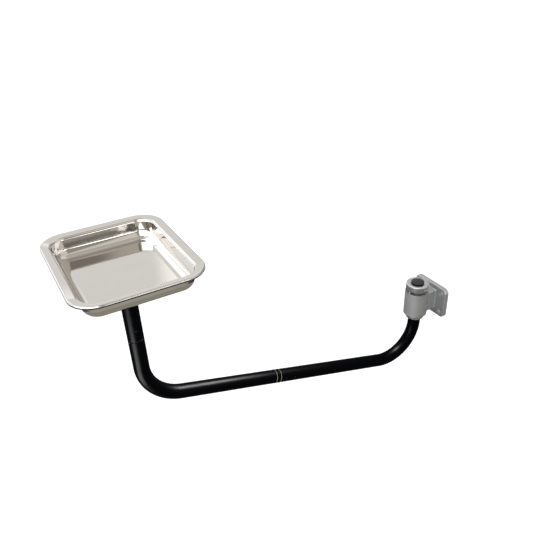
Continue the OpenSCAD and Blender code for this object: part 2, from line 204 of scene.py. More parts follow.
def turned(outline, place, closed=True, radius=None):
    """Vertices, faces and normals of an outline turned about an axis or a bent centre line.
    radius(r, height, angle) can change the radius on the way round."""
    verts, normals, rings = [], [], []
    for r, s, nr, ns in outline:
        centre, axes = place(s)
        if r < 1e-7:
            rings.append([len(verts)])
            verts.append(centre)
            normals.append(axes @ Vector((0, 0, ns)))
            continue
        ring = []
        for k in range(SEGMENTS):
            a = 2 * math.pi * k / SEGMENTS
            rr = radius(r, s, a) if radius else r
            ring.append(len(verts))
            verts.append(centre + axes @ Vector((rr * math.cos(a), rr * math.sin(a), 0)))
            normals.append(axes @ Vector((nr * math.cos(a), nr * math.sin(a), ns)))
        rings.append(ring)
    faces = []
    following = rings[1:] + rings[:1] if closed else rings[1:]
    for low, high in zip(rings, following):
        for k in range(SEGMENTS):
            k2 = (k + 1) % SEGMENTS
            if len(low) == 1:
                faces.append((low[0], high[k2], high[k]))
            elif len(high) == 1:
                faces.append((low[k], low[k2], high[0]))
            else:
                faces.append((low[k], low[k2], high[k2], high[k]))
    return verts, faces, normals


def make_mesh(name, shape, sharp=None):
    """Mesh object from vertices, faces and normals; sharp is an angle to split the shading at."""
    verts, faces, normals = shape
    mesh = bpy.data.meshes.new(name)
    mesh.from_pydata(verts, [], faces)
    bm = bmesh.new()
    bm.from_mesh(mesh)
    bmesh.ops.recalc_face_normals(bm, faces=bm.faces)
    bm.to_mesh(mesh)
    bm.free()
    mesh.shade_smooth()
    if sharp is not None:
        mesh.set_sharp_from_angle(angle=math.radians(sharp))
    elif normals:
        mesh.normals_split_custom_set_from_vertices([n.normalized() for n in normals])
    obj = bpy.data.objects.new(name, mesh)
    bpy.context.scene.collection.objects.link(obj)
    return obj


def bake(obj, sharp):
    """Replaces the object's mesh by what its modifiers make of it."""
    graph = bpy.context.evaluated_depsgraph_get()
    mesh = bpy.data.meshes.new_from_object(obj.evaluated_get(graph))
    obj.modifiers.clear()
    obj.data = mesh
    mesh.shade_smooth()
    mesh.set_sharp_from_angle(angle=math.radians(sharp))


def cut_with(obj, cutters, sharp=SHARP, operation="DIFFERENCE"):
    """Cuts or joins the cutters, then removes them."""
    for cutter in cutters:
        mod = obj.modifiers.new("cut", "BOOLEAN")
        mod.operation = operation
        mod.solver = "EXACT"
        mod.object = cutter
    bake(obj, sharp)
    for cutter in cutters:
        bpy.data.objects.remove(cutter)


def cylinder(matrix, r, low, high):
    """Plain cylinder along the matrix's Z axis, to cut with or to add."""
    outline = [(0, low, 1, 0), (r, low, 1, 0), (r, high, 1, 0), (0, high, 1, 0)]
    return make_mesh("cylinder", turned(outline, straight(matrix), closed=False), sharp=SHARP)


def band_faces(rows, count, first=0):
    """Faces between rows of vertices, closed round, from vertex number first on."""
    return [(a + k, a + (k + 1) % count, a + count + (k + 1) % count, a + count + k)
            for a in range(first, first + (rows - 1) * count, count) for k in range(count)]


def capped_faces(rows, count):
    """Faces of a solid of rows with count vertices each: the bands and both ends."""
    last = (rows - 1) * count
    return band_faces(rows, count) + [tuple(range(count)), tuple(range(last, last + count))]


def prism(loop, low, high, point):
    """Solid between two copies of a loop; point(p, level) places the loop's point p."""
    verts = [point(p, level) for level in (low, high) for p in loop]
    return verts, capped_faces(2, len(loop)), None


def finish_piece(obj, body, slot, stands_for=()):
    """Gives a piece its material and its body, and hides the CAD nodes that it stands for."""
    obj.data.materials.clear()
    obj.data.materials.append(MATERIALS[slot])
    if stands_for:
        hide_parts(*stands_for)
    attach(obj, body)


# ---- Materials ----


class Nodes:
    """Builds a material or world out of nodes."""

    def __init__(self, tree):
        self.tree = tree
        tree.nodes.clear()

    def add(self, kind, inputs=None, **settings):
        node = self.tree.nodes.new(kind)
        for key, value in settings.items():
            setattr(node, key, value)
        for key, value in (inputs or {}).items():
            self.put(node.inputs[key], value)
        return node

    def put(self, socket, value):
        if isinstance(value, bpy.types.NodeSocket):
            self.tree.links.new(value, socket)
        else:
            socket.default_value = value

    def math(self, operation, a, b=0.0):
        node = self.tree.nodes.new("ShaderNodeMath")
        node.operation = operation
        for socket, value in zip(node.inputs, (a, b)):
            self.put(socket, value)
        return node.outputs[0]

    def remap(self, value, low, high, to_low, to_high, smooth=False):
        node = self.add("ShaderNodeMapRange", {0: value, 1: low, 2: high, 3: to_low, 4: to_high})
        if smooth:
            node.interpolation_type = "SMOOTHSTEP"
        return node.outputs[0]

    def blend(self, factor, a, b):
        node = self.add("ShaderNodeMix", data_type="RGBA")
        self.put(node.inputs[0], factor)
        self.put(node.inputs[6], a)
        self.put(node.inputs[7], b)
        return node.outputs[2]

    def noise(self, vector, size, detail=2.0, rough=0.5):
        """Noise whose features are about size metres across, from 0 to 1."""
        node = self.add("ShaderNodeTexNoise", {"Vector": vector, "Scale": 1 / size,
                                               "Detail": detail, "Roughness": rough})
        return node.outputs[0]


def rgb(r, g, b):
    return (r, g, b, 1.0)


def start_material(name):
    """A new material, its nodes, and the place on the object in metres."""
    material = bpy.data.materials.new(name)
    material.use_nodes = True
    n = Nodes(material.node_tree)
    where = n.add("ShaderNodeTexCoord").outputs["Object"]
    return material, n, where


def close_material(n, colour, rough, bumps, **more):
    """Adds the surface and the output. Bumps are pairs of (height, depth in metres); more
    inputs of the surface are given by name, with _ for each space."""
    normal = None
    for height, depth in bumps:
        inputs = {"Height": height, "Distance": depth, "Strength": 1.0}
        if normal is not None:
            inputs["Normal"] = normal
        normal = n.add("ShaderNodeBump", inputs).outputs[0]
    inputs = {name.replace("_", " "): value for name, value in more.items()}
    inputs.update({"Base Color": colour, "Roughness": rough, "Normal": normal})
    surface = n.add("ShaderNodeBsdfPrincipled", inputs)
    n.add("ShaderNodeOutputMaterial", {"Surface": surface.outputs[0]})


def stretched(n, where, scale):
    return n.add("ShaderNodeMapping", {"Vector": where, "Scale": scale}).outputs[0]


def edge_wear(n, amount):
    """0 on flat faces, up to amount on convex edges, where the coat or skin wears first."""
    wear_starts, wear_full = 0.53, 0.60
    point = n.add("ShaderNodeNewGeometry").outputs["Pointiness"]
    return n.remap(point, wear_starts, wear_full, 0.0, amount, smooth=True)


def black_coat():
    """Satin powder coat, close to black, with a fine skin and a few scuffs along the tube."""
    material, n, where = start_material("black_coat")
    broad = n.noise(where, 60 * MM, 3)
    fine = n.noise(where, 1.3 * MM, 2)
    grain = n.noise(where, 0.35 * MM, 1)
    scuff = n.remap(n.noise(stretched(n, where, (1, 6, 1)), 9 * MM, 6, 0.7), 0.62, 0.78, 0, 1)
    colour = n.blend(broad, rgb(0.0006, 0.0007, 0.0010), rgb(0.0012, 0.0013, 0.0019))
    colour = n.blend(n.math("MULTIPLY", scuff, 0.25), colour, rgb(0.012, 0.012, 0.014))
    rough = n.remap(broad, 0.3, 0.7, 0.29, 0.35)
    rough = n.math("ADD", rough, n.math("MULTIPLY", scuff, 0.05))
    close_material(n, colour, rough, [(fine, 0.02 * MM), (grain, 0.004 * MM)],
                   Specular_IOR_Level=0.008)
    return material


def tray_steel():
    """Polished sheet: a slight sway of the surface, smudges and hair scratches both ways."""
    material, n, where = start_material("tray_steel")
    sway = n.noise(where, 55 * MM, 1)
    smudge = n.noise(where, 24 * MM, 5, 0.6)
    scratch_size, scratch_depth = 0.35 * MM, 0.0007 * MM
    scratch_a = n.noise(stretched(n, where, (1, 0.02, 1)), scratch_size, 2)
    scratch_b = n.noise(stretched(n, where, (0.02, 1, 1)), scratch_size, 2)
    colour = n.blend(smudge, rgb(0.63, 0.605, 0.58), rgb(0.595, 0.57, 0.545))
    rough = n.remap(smudge, 0.35, 0.75, 0.04, 0.09)
    bumps = [(sway, 0.06 * MM), (scratch_a, scratch_depth), (scratch_b, scratch_depth)]
    close_material(n, colour, rough, bumps, Metallic=1.0)
    return material


def cast_alloy():
    """Tumbled aluminium casting, with a grainy, pitted skin and brighter edges."""
    material, n, where = start_material("cast_alloy")
    broad = n.noise(where, 14 * MM, 4)
    grain = n.noise(where, 0.7 * MM, 3, 0.6)
    pits = n.add("ShaderNodeTexVoronoi", {"Vector": where, "Scale": 1 / (0.9 * MM)}).outputs[0]
    wear = edge_wear(n, 0.6)
    colour = n.blend(broad, rgb(0.42, 0.425, 0.435), rgb(0.52, 0.525, 0.53))
    colour = n.blend(wear, colour, rgb(0.70, 0.70, 0.70))
    rough = n.remap(grain, 0.3, 0.7, 0.42, 0.60)
    close_material(n, colour, rough, [(grain, 0.05 * MM), (pits, 0.03 * MM)], Metallic=1.0)
    return material


def turned_metal(name, matrix, colours, rough_range, metallic=1.0):
    """Metal or plastic with fine turning marks round the matrix's Z axis."""
    material, n, where = start_material(name)
    inverse = matrix.inverted()
    local = n.add("ShaderNodeMapping", {"Vector": where, "Location": inverse.translation,
                                        "Rotation": inverse.to_euler()}).outputs[0]
    split = n.add("ShaderNodeSeparateXYZ", {0: local})
    flat = n.add("ShaderNodeCombineXYZ", {0: split.outputs[0], 1: split.outputs[1]}).outputs[0]
    radius = n.add("ShaderNodeVectorMath", {0: flat}, operation="LENGTH").outputs["Value"]
    rings = n.add("ShaderNodeCombineXYZ", {0: radius, 1: split.outputs[2]}).outputs[0]
    marks = n.noise(rings, 0.22 * MM, 3, 0.7)
    broad = n.noise(where, 8 * MM, 3)
    dull, bright = colours
    colour = n.blend(broad, rgb(*dull), rgb(*bright))
    colour = n.blend(edge_wear(n, 0.3), colour, rgb(*[min(1.0, c * 1.25) for c in bright]))
    rough = n.remap(marks, 0.3, 0.7, *rough_range)
    close_material(n, colour, rough, [(marks, 0.003 * MM), (broad, 0.004 * MM)],
                   Metallic=metallic)
    return material


def fastener_steel():
    """Bright stainless steel, a little cloudy, with a warmer tint in places."""
    material, n, where = start_material("fastener_steel")
    cloud = n.noise(where, 3 * MM, 4, 0.6)
    tint = n.noise(where, 11 * MM, 2)
    colour = n.blend(tint, rgb(0.66, 0.665, 0.68), rgb(0.70, 0.69, 0.655))
    rough = n.remap(cloud, 0.3, 0.7, 0.20, 0.34)
    close_material(n, colour, rough, [(cloud, 0.012 * MM)], Metallic=1.0)
    return material


def black_oxide():
    """Blackened steel of the screws and pins, worn at the edges."""
    material, n, where = start_material("black_oxide")
    cloud = n.noise(where, 1.5 * MM, 4, 0.6)
    colour = n.blend(cloud, rgb(0.005, 0.005, 0.006), rgb(0.012, 0.012, 0.012))
    colour = n.blend(edge_wear(n, 0.4), colour, rgb(0.05, 0.05, 0.05))
    rough = n.remap(cloud, 0.3, 0.7, 0.32, 0.48)
    close_material(n, colour, rough, [(cloud, 0.01 * MM)], Metallic=0.5)
    return material


def grey_acetal():
    """Grey-olive plastic with some grime."""
    material, n, where = start_material("grey_acetal")
    cloud = n.noise(where, 4 * MM, 4)
    fine = n.noise(where, 0.3 * MM, 2)
    grime = n.remap(n.noise(where, 7 * MM, 5, 0.65), 0.55, 0.8, 0.0, 0.5)
    colour = n.blend(cloud, rgb(0.15, 0.145, 0.115), rgb(0.19, 0.185, 0.145))
    colour = n.blend(grime, colour, rgb(0.10, 0.095, 0.07))
    rough = n.remap(cloud, 0.3, 0.7, 0.38, 0.50)
    close_material(n, colour, rough, [(fine, 0.006 * MM)], Subsurface_Weight=0.15,
                   Subsurface_Scale=0.5 * MM)
    return material


def rubber():
    """Dull black rubber."""
    material, n, where = start_material("rubber")
    cloud = n.noise(where, 6 * MM, 4)
    fine = n.noise(where, 0.4 * MM, 3, 0.6)
    colour = n.blend(cloud, rgb(0.016, 0.016, 0.016), rgb(0.034, 0.033, 0.032))
    rough = n.remap(cloud, 0.3, 0.7, 0.68, 0.85)
    close_material(n, colour, rough, [(fine, 0.03 * MM)])
    return material


# duller and brighter colour of each turned material
STEEL = ((0.56, 0.56, 0.58), (0.63, 0.63, 0.645))
ACETAL = ((0.005, 0.005, 0.006), (0.009, 0.009, 0.010))
MATERIALS = {
    "black_coat": black_coat(),
    "tray_steel": tray_steel(),
    "cast_alloy": cast_alloy(),
    "turned_steel": turned_metal("turned_steel", ON_PIVOT, STEEL, (0.22, 0.36)),
    "black_acetal": turned_metal("black_acetal", ON_PIVOT, ACETAL, (0.34, 0.46), metallic=0.0),
    "fastener_steel": fastener_steel(),
    "black_oxide": black_oxide(),
    "grey_acetal": grey_acetal(),
    "rubber": rubber(),
}

# ---- Arm tubes ----


def arm_tube(node, body, path, bend_r, cutters):
    """Tube along a path of start, knee and end, drilled by the cutters."""
    place, length = bent(*path, bend_r)
    outline = dense(plain_ring(tube_r, tube_ir, 0, length, tube_edge))
    obj = make_mesh(node + "_visual", turned(outline, place), sharp=SHARP)
    cut_with(obj, cutters)
    finish_piece(obj, body, "black_coat", [node])


def outer_arm():
    top = Vector((corner.x, 0, swivel_z))
    leg_end = corner + leg_dir * flange_span[0]
    riser_hole = ON_RISER @ shift(z=middle("swivel_dog_screw").z) @ ALONG_X
    leg_hole = ON_LEG @ shift(z=flange_span[0] - dog_back) @ ALONG_X
    arm_tube("outer_arm_tube", "outer_arm", (top, corner, leg_end), tray_bend_r,
             [cylinder(at, dog_r, 0, through) for at in (riser_hole, leg_hole)])


def inner_arm():
    leg_start = corner + leg_dir * ring_span[1]
    top = Vector((pivot_x, 0, tube_top_z))
    holes = [cylinder(ON_LEG @ shift(z=s) @ ALONG_Y, pin_r, -through, through) for s in leg_pins]
    pivot_hole = ON_PIVOT @ shift(z=middle("pivot_roll_pin").z) @ ALONG_Y
    holes.append(cylinder(pivot_hole, pivot_pin_r, -through, through))
    arm_tube("inner_arm_tube", "inner_arm", (leg_start, inner_corner, top), pivot_bend_r, holes)


# ---- Turned parts ----


def ring_piece(node, matrix, body, slot, outline, cutters=()):
    """Part turned about the matrix's Z axis, drilled by the cutters."""
    shape = turned(dense(outline), straight(matrix))
    obj = make_mesh(node + "_visual", shape, sharp=SHARP if cutters else None)
    if cutters:
        cut_with(obj, cutters)
    finish_piece(obj, body, slot, [node])


def plain_ring(r_out, r_in, low, high, edge):
    return rounded_outline([(r_out, low, edge), (r_out, high, edge),
                            (r_in, high, edge), (r_in, low, edge)])


def flanged_ring(r_body, r_in, low, r_flange, flange_low, high, edge):
    return rounded_outline([
        (r_body, low, edge), (r_body, flange_low, edge / 4), (r_flange, flange_low, edge),
        (r_flange, high, edge), (r_in, high, edge), (r_in, low, edge)])


def leg_joint_parts():
    ring_edge, collar_edge = 0.3 * MM, 0.35 * MM
    ring_piece("joint_ring", ON_LEG, "inner_arm", "grey_acetal",
               plain_ring(ring_r, bush_ir, *ring_span, ring_edge))
    ring_piece("joint_collar", ON_LEG, "inner_arm", "black_coat",
               plain_ring(tube_r, bush_ir, *collar_span, collar_edge))
    ring_piece("joint_bush_flanged", ON_LEG, "outer_arm", "grey_acetal",
               flanged_ring(tube_ir, bush_ir, flange_span[0] - bush_len, ring_r,
                            *flange_span, ring_edge))


def swivel_parts():
    flange_r, flange_edge = extent("swivel_bush_upper").y / 2, 0.25 * MM
    ring_piece("swivel_bush_upper", ON_RISER, "outer_arm", "black_acetal",
               flanged_ring(tube_ir, bush_ir, swivel_z - bush_len, flange_r, swivel_z,
                            hub_z - run_gap, flange_edge))
    pin = ON_RISER @ shift(z=middle("hub_roll_pin").z) @ ALONG_Y
    ring_piece("tray_hub", ON_RISER, "tray_head", "black_coat",
               plain_ring(tube_r, tube_ir, hub_z, seat_z, tube_edge),
               [cylinder(pin, pin_r, -through, through)])


def hub_weld():
    """Weld bead round the top of the sleeve, under the seat plate, with its ripples."""
    leg, spread = 3 * MM, 0.9               # height of the bead, and its width as a share
    root, lift = 0.4 * MM, 0.12 * MM        # how deep it sits in the sleeve and stands off it
    ripples, ripple_h, ripple_lag = 46, 0.14 * MM, 1.4
    smooth_share, fade = 0.03, 4            # no ripples at the toe; they reach full height fast
    low, steps = seat_z - leg, 10
    outline = [(tube_r - root, low, -1, -1)]
    for k in range(steps + 1):
        a = QUARTER * k / steps
        outline.append((tube_r + leg * (1 - math.cos(a)) * spread + lift,
                        low + leg * math.sin(a), math.cos(a), -math.sin(a)))
    outline.append((tube_r - root, seat_z, -1, 0))

    def rippled(r, s, a):
        out = (r - tube_r) / leg
        if out <= smooth_share or s >= seat_z:
            return r
        phase = a * ripples + ripple_lag * math.sin((s - seat_z) / leg * math.pi)
        return r + ripple_h * math.sin(phase) * min(1, out * fade)

    obj = make_mesh("hub_weld", turned(outline, straight(ON_RISER), radius=rippled), sharp=60)
    finish_piece(obj, "tray_head", "black_coat")


def pivot_collars():
    """Collar over the boss, with its roll pin and stop pin, and the clamped collar below it."""
    lo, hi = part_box("pivot_collar")
    stop_lo, stop_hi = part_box("stop_pin")
    r = (hi.x - lo.x) / 2
    pin_at = ON_PIVOT @ shift(z=(lo.z + hi.z) / 2) @ ALONG_Y
    stop_at = shift((stop_lo.x + stop_hi.x) / 2)
    ring_piece("pivot_collar", ON_PIVOT, "inner_arm", "turned_steel",
               plain_ring(r, tube_r, lo.z, hi.z, pivot_collar_edge),
               [cylinder(pin_at, pivot_pin_r, -r - CLEAR, r + CLEAR),
                cylinder(stop_at, (stop_hi.x - stop_lo.x) / 2, lo.z - CLEAR, stop_hi.z)])

    lo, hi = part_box("lower_collar")
    r = (hi.x - lo.x) / 2
    screw_at = ON_PIVOT @ shift(z=(lo.z + hi.z) / 2) @ Matrix.Rotation(-QUARTER, 4, "Y")
    ring_piece("lower_collar", ON_PIVOT, "inner_arm", "turned_steel",
               plain_ring(r, tube_r, lo.z, hi.z, lower_collar_edge),
               [cylinder(screw_at, dog_r, 0, r + CLEAR)])


def pivot_washers():
    """Flat washer, and a spring washer that rises towards the tube."""
    r_in = tube_r + run_gap
    lo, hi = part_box("pivot_washer")
    ring_piece("pivot_washer", ON_PIVOT, "inner_arm", "turned_steel",
               plain_ring((hi.x - lo.x) / 2, r_in, lo.z, hi.z, 0.25 * MM))
    lo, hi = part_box("pivot_spring_washer")
    r, thick, edge = (hi.x - lo.x) / 2, 1.0 * MM, 0.2 * MM
    ring_piece("pivot_spring_washer", ON_PIVOT, "inner_arm", "fastener_steel",
               rounded_outline([(r, lo.z, edge), (r, lo.z + thick, edge),
                                (r_in, hi.z, edge), (r_in, hi.z - thick, edge)]))


def pivot_bushes():
    """The two bushes of the bracket, the lower one upside down."""
    edge = 0.4 * MM
    for node, sign in (("pivot_bush_upper", 1), ("pivot_bush_lower", -1)):
        lo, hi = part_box(node)
        low, high = (lo.z, hi.z) if sign > 0 else (-hi.z, -lo.z)
        outline = flanged_ring(bore_r, tube_r + run_gap, low, (hi.x - lo.x) / 2,
                               high - pivot_flange_t, high, edge)
        ring_piece(node, ON_PIVOT @ Matrix.Diagonal((1, 1, sign, 1)), "bracket",
                   "black_acetal", outline)


def pivot_cap():
    """Push-in end cap: a plug with two grooves under a low domed head."""
    lo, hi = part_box("pivot_cap")
    plug = tube_top_z - lo.z
    plug_wall, crown_t, inner_r = 2 * MM, 0.5 * MM, 0.2 * MM
    groove_half, groove_deep, groove_edge = 0.7 * MM, 0.5 * MM, 0.1 * MM
    head_r = (hi.x - lo.x) / 2
    rim_h = 1.2 * MM
    dome_h = hi.z - tube_top_z - rim_h
    points = [(tube_ir - plug_wall, lo.z, 0.3 * MM), (tube_ir, lo.z, 0.4 * MM)]
    for share in (0.35, 0.65):
        z = lo.z + plug * share
        points += [(tube_ir, z - groove_half, groove_edge),
                   (tube_ir - groove_deep, z, 2 * groove_edge),
                   (tube_ir, z + groove_half, groove_edge)]
    points += [(tube_ir, tube_top_z, 0.05 * MM), (head_r, tube_top_z, 0.25 * MM),
               (head_r, tube_top_z + rim_h, 0.5 * MM), (0.5 * head_r, hi.z, 0.2 * MM)]
    edge_steps = 5
    # the last point only aims the rim's rounding at the dome, so its own arc is left out
    outline = rounded_outline(points, edge_steps)[:-(edge_steps + 1)]

    dome_r = (head_r ** 2 + dome_h ** 2) / (2 * dome_h)
    steps = 14
    top = []
    for k in range(1, steps + 1):
        r = outline[-1][0] * (1 - k / steps)
        rise = math.sqrt(dome_r ** 2 - r ** 2)
        top.append((r, hi.z - dome_r + rise, r / dome_r, rise / dome_r))
    crown = tube_top_z - crown_t
    inside = [(0, crown, 0, -1), (tube_ir - plug_wall - inner_r, crown, 0, -1),
              (tube_ir - plug_wall, crown - inner_r, -1, 0)]
    shape = turned(dense(inside + outline + top, closed=False), straight(ON_PIVOT), closed=False)
    finish_piece(make_mesh("pivot_cap_visual", shape, sharp=35), "inner_arm", "black_acetal",
                 ["pivot_cap"])


# ---- Tray ----

sheet_t = 1.0 * MM                  # the bends' radii are those of the middle of the sheet
rim_corner_r = 41 * MM              # corner of the rim, seen from above
flange_w = 10.5 * MM
flange_fall = math.radians(11)      # slope of the flange, down towards the well
bead_r = 2 * MM                     # rolled outer edge
brow_r = 5 * MM                     # bend from the flange into the wall
wall_draft = math.radians(6)
fillet_r = 16.5 * MM                # bend from the wall into the floor
lip_h = 4.5 * MM                    # height of the turned-down edge
tray_lo, tray_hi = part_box("tray")
tray_depth = tray_hi.z - tray_lo.z


def arc(centre, radius, start, end, steps, side):
    """Points of an arc in the sheet's section, with normals away from its centre times side."""
    out = []
    for k in range(steps + 1):
        a = start + (end - start) * k / steps
        d = Vector((math.cos(a), math.sin(a)))
        out.append((centre.x + radius * d.x, centre.y + radius * d.y, side * d.x, side * d.y))
    return out


def sheet_sections():
    """Upper and lower face of the sheet, each from the turned-down edge to the floor, as
    (inset from the rim, height above the rim) with normals.
    The bends have their centres at lip, bead, brow and fillet."""
    half = sheet_t / 2
    lip_steps, bead_steps, brow_steps, fillet_steps = 5, 18, 16, 30
    bead = Vector((bead_r + half, -bead_r - half))
    run = (flange_w - bead.x - (bead_r - brow_r) * math.sin(flange_fall)) / math.cos(flange_fall)
    along = Vector((math.cos(flange_fall), -math.sin(flange_fall)))
    up = Vector((math.sin(flange_fall), math.cos(flange_fall)))
    brow = bead + run * along + (bead_r - brow_r) * up
    wall = Vector((math.sin(wall_draft), -math.cos(wall_draft)))
    out = Vector((math.cos(wall_draft), math.sin(wall_draft)))
    top = brow + brow_r * out
    fillet_z = fillet_r - tray_depth + half
    drop = (top.y + fillet_r * math.sin(wall_draft) - fillet_z) / math.cos(wall_draft)
    fillet = top + wall * drop + fillet_r * out
    lip = Vector((half, half - lip_h))
    faces = []
    for side in (1, -1):
        t = side * half
        faces.append(dense(
            arc(lip, half, -QUARTER, -QUARTER - side * QUARTER, lip_steps, 1)
            + arc(bead, bead_r + t, math.pi, QUARTER - flange_fall, bead_steps, side)
            + arc(brow, brow_r + t, QUARTER - flange_fall, wall_draft, brow_steps, side)
            + arc(fillet, fillet_r - t, math.pi + wall_draft, 3 * QUARTER, fillet_steps, -side),
            step=STEP / 2, closed=False))
    return faces


def rounded_loop(half_x, half_y, r, corner_steps=40, side_steps=28):
    """Points and outward normals round a rounded rectangle."""
    out = []
    for q in range(4):
        sx = 1 if q in (0, 3) else -1
        sy = 1 if q < 2 else -1
        for k in range(corner_steps + 1):
            a = QUARTER * (q + k / corner_steps)
            normal = Vector((math.cos(a), math.sin(a)))
            out.append((Vector((sx * (half_x - r), sy * (half_y - r))) + normal * r, normal))
        length = 2 * ((half_x if q in (0, 2) else half_y) - r)
        last, normal = out[-1]
        along = Vector((-normal.y, normal.x))
        for k in range(1, side_steps):
            out.append((last + along * (length * k / side_steps), normal))
    return out


def swept_loop(loop, section, centre, base_z):
    """Rings of vertices for a section carried round a loop."""
    verts, normals = [], []
    for inset, height, nu, nz in section:
        for point, normal in loop:
            verts.append(Vector((centre.x + point.x - normal.x * inset,
                                 centre.y + point.y - normal.y * inset, base_z + height)))
            normals.append(Vector((-normal.x * nu, -normal.y * nu, nz)))
    return verts, normals


def floor_rings(verts, normals, count, centre, shrink, up):
    """Adds smaller and smaller copies of the last ring, level with it."""
    last = verts[-count:]
    for k in shrink:
        for p in last:
            verts.append(Vector((centre.x + (p.x - centre.x) * k,
                                 centre.y + (p.y - centre.y) * k, p.z)))
            normals.append(Vector((0, 0, up)))


def tray():
    """Pressed sheet: its two faces swept round the rim, closed by the floor."""
    centre = Vector((corner.x, 0, 0))
    loop = rounded_loop((tray_hi.x - tray_lo.x) / 2, (tray_hi.y - tray_lo.y) / 2, rim_corner_r)
    count = len(loop)
    floor_loops = 12
    shrink = [1 - k / floor_loops for k in range(1, floor_loops)]
    verts, faces, normals, starts = [], [], [], []
    for section, up in zip(sheet_sections(), (1, -1)):
        v, n = swept_loop(loop, section, centre, tray_hi.z)
        floor_rings(v, n, count, centre, shrink, up)
        starts.append(len(verts))
        faces += band_faces(len(v) // count, count, first=len(verts))
        verts += v
        normals += n
        faces.append(tuple(range(len(verts) - count, len(verts))))
    obj = make_mesh("tray_visual", (verts, faces, None))
    mesh = obj.data
    bm = bmesh.new()
    bm.from_mesh(mesh)
    tag = bm.verts.layers.float_vector.new("rest_normal")
    bm.verts.ensure_lookup_table()
    for v, n in zip(bm.verts, normals):
        v[tag] = n
    # both faces start with the lowest ring of the turned-down edge, which is joined here
    edges = [v for start in starts for v in bm.verts[start:start + count]]
    bmesh.ops.remove_doubles(bm, verts=edges, dist=MM / 1000)
    bmesh.ops.recalc_face_normals(bm, faces=bm.faces)
    kept = [v[tag].normalized() for v in bm.verts]
    bm.verts.layers.float_vector.remove(tag)
    bm.to_mesh(mesh)
    bm.free()
    mesh.shade_smooth()
    mesh.normals_split_custom_set_from_vertices(kept)
    finish_piece(obj, "tray_head", "tray_steel", ["tray"])


# ---- Tray seat ----

seat_corner_r = 8 * MM
plate_edge, pad_edge = 0.6 * MM, 0.5 * MM
stud_r = 2.5 * MM
stud_hole_r = 2.8 * MM


def stud_places():
    lo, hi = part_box("tray_studs")
    return [(x, y) for x in (lo.x + stud_r, hi.x - stud_r) for y in (lo.y + stud_r, hi.y - stud_r)]


def seat_sheet(node, slot, edge):
    """Flat sheet with rounded corners and edges, and a hole for each stud."""
    lo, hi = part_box(node)
    steps = 6
    section = (arc(Vector((edge, edge - (hi.z - lo.z))), edge, -QUARTER, -math.pi, steps, 1)
               + arc(Vector((edge, -edge)), edge, math.pi, QUARTER, steps, 1))
    loop = rounded_loop((hi.x - lo.x) / 2, (hi.y - lo.y) / 2, seat_corner_r,
                        corner_steps=16, side_steps=20)
    verts, _ = swept_loop(loop, section, middle(node), hi.z)
    shape = verts, capped_faces(len(section), len(loop)), None
    obj = make_mesh(node + "_visual", shape, sharp=SHARP)
    cut_with(obj, [cylinder(shift(x, y), stud_hole_r, lo.z - CLEAR, hi.z + CLEAR)
                   for x, y in stud_places()])
    finish_piece(obj, "tray_head", slot, [node])


def on_each_stud(node, slot, outline, sharp=None, **options):
    """One mesh with the turned outline on each stud."""
    verts, faces, normals = [], [], []
    for x, y in stud_places():
        v, f, n = turned(outline, straight(shift(x, y)), **options)
        faces += [tuple(i + len(verts) for i in face) for face in f]
        verts += v
        normals += n
    obj = make_mesh(node + "_visual", (verts, faces, normals), sharp)
    finish_piece(obj, "tray_head", slot, [node])


def stud_fittings():
    """Washers and domed nuts under the seat plate."""
    lo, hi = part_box("stud_washers")
    washer_r, washer_edge = 5 * MM, 0.2 * MM
    on_each_stud("stud_washers", "turned_steel",
                 plain_ring(washer_r, stud_hole_r, lo.z, hi.z, washer_edge))

    lo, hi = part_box("dome_nuts")
    half_af = 4 * MM                        # half of the size across the flats
    hex_h, dome_r, chamfer = 4.5 * MM, 3.6 * MM, 0.6 * MM
    face_r = half_af - 0.1 * MM             # flat ring inside the chamfer
    corner_r = half_af / math.cos(math.pi / 6)
    shoulder = hi.z - hex_h
    hollow_end = shoulder - 0.6 * MM
    steps = 16
    points = []
    for k in range(steps + 1):
        a = -QUARTER + QUARTER * k / steps
        points.append((dome_r * math.cos(a), lo.z + dome_r * (1 + math.sin(a))))
    points += [(dome_r, shoulder), (face_r, shoulder), (corner_r, shoulder + chamfer),
               (corner_r, hi.z - chamfer), (face_r, hi.z), (stud_r, hi.z),
               (stud_r, hollow_end), (0, hollow_end)]

    def hexed(r, s, a):
        around = (a + math.pi / 6) % (math.pi / 3) - math.pi / 6
        return min(r, half_af / math.cos(around))

    outline = dense([(r, z, 1, 0) for r, z in points], 1.0 * MM, closed=False)
    on_each_stud("dome_nuts", "fastener_steel", outline, sharp=22, closed=False, radius=hexed)


# ---- Bracket ----

plate_t = 9 * MM
plate_corner_r = 10 * MM
boss_r = 25 * MM
boss_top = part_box("pivot_bush_upper")[1].z - pivot_flange_t     # the bushes' flanges lie on
boss_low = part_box("pivot_bush_lower")[0].z + pivot_flange_t     # the two ends of the boss
neck_half = 17 * MM
neck_inset = 4 * MM                 # neck, back from the ends of the boss
spare = 3 * MM                      # what the casting has to spare where it is machined
bolt_span_y, bolt_span_z = 66 * MM, 46 * MM
bolt_hole_r = 4.5 * MM
bolt_face_r, bolt_face_deep = 8.5 * MM, 0.4 * MM        # cut flat for the bolt heads
bolt_face_room = 5 * MM
slot_deep, slot_over = 5 * MM, 6 * MM


def box_shape(lo, hi):
    bm = bmesh.new()
    bmesh.ops.create_cube(bm, size=1.0)
    verts = [Vector([lo[i] if v.co[i] < 0 else hi[i] for i in range(3)]) for v in bm.verts]
    faces = [tuple(v.index for v in f.verts) for f in bm.faces]
    bm.free()
    return verts, faces, None


